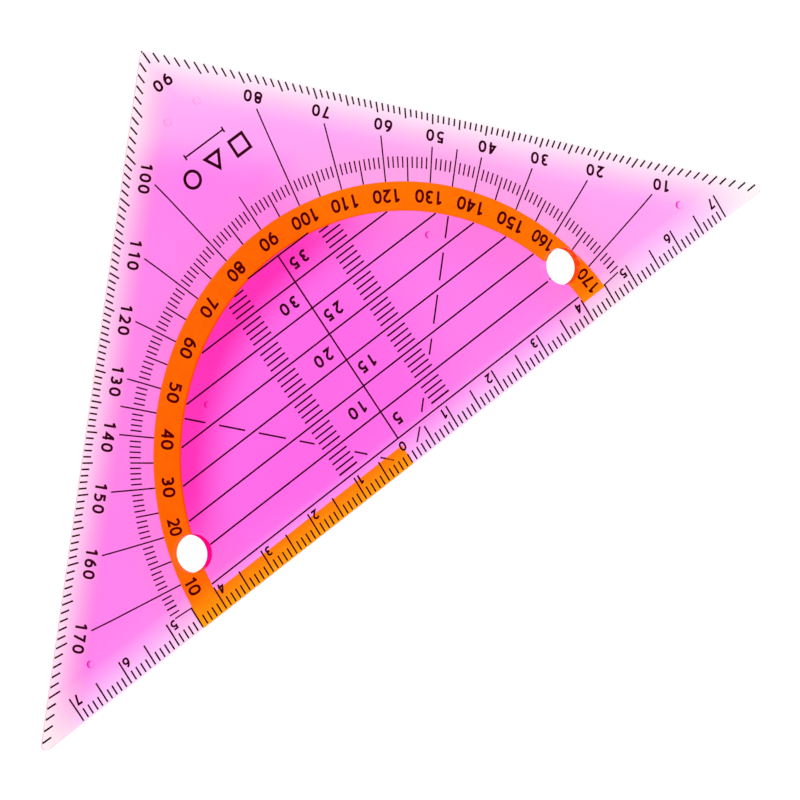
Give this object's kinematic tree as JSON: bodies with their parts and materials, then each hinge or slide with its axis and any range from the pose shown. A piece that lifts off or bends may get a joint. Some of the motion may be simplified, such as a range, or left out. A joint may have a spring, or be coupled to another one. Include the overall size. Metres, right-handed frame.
{
  "type": "set square",
  "caption": "Clear tinted set square with a protractor: bevelled right isosceles plate, printed ruler, degree and parallel scales, coloured arc and two handle holes.",
  "frame": {"origin": "the zero mark, where it meets the drawing edge, on the plane that the nubs' tips stand on", "axes": "+X along the drawing edge, +Y to the right-angled corner, +Z out of the front face"},
  "size_m": [0.1564, 0.079, 0.0023],
  "materials": {
    "clear_plastic": "clear fluorescent pink plastic, polished faces",
    "coloured_ink": "opaque orange print, satin",
    "dark_ink": "opaque dark maroon print, satin"
  },
  "bodies": {
    "root": {"plate": "clear_plastic", "protractor_band": "coloured_ink", "ruler_strip": "coloured_ink", "ruler_millimetre_marks": "dark_ink", "ruler_half_centimetre_marks": "dark_ink", "ruler_centimetre_marks": "dark_ink", "ruler_numerals": "dark_ink", "leg_degree_marks_left": "dark_ink", "leg_degree_marks_right": "dark_ink", "leg_numerals": "dark_ink", "arc_degree_marks": "dark_ink", "arc_five_degree_marks": "dark_ink", "degree_rays": "dark_ink", "band_numerals": "dark_ink", "parallel_lines": "dark_ink", "centre_line": "dark_ink", "millimetre_ladder_left": "dark_ink", "millimetre_ladder_right": "dark_ink", "parallel_numerals": "dark_ink", "diagonal_left": "dark_ink", "diagonal_right": "dark_ink", "emblem": "dark_ink"}
  },
  "joints": []
}
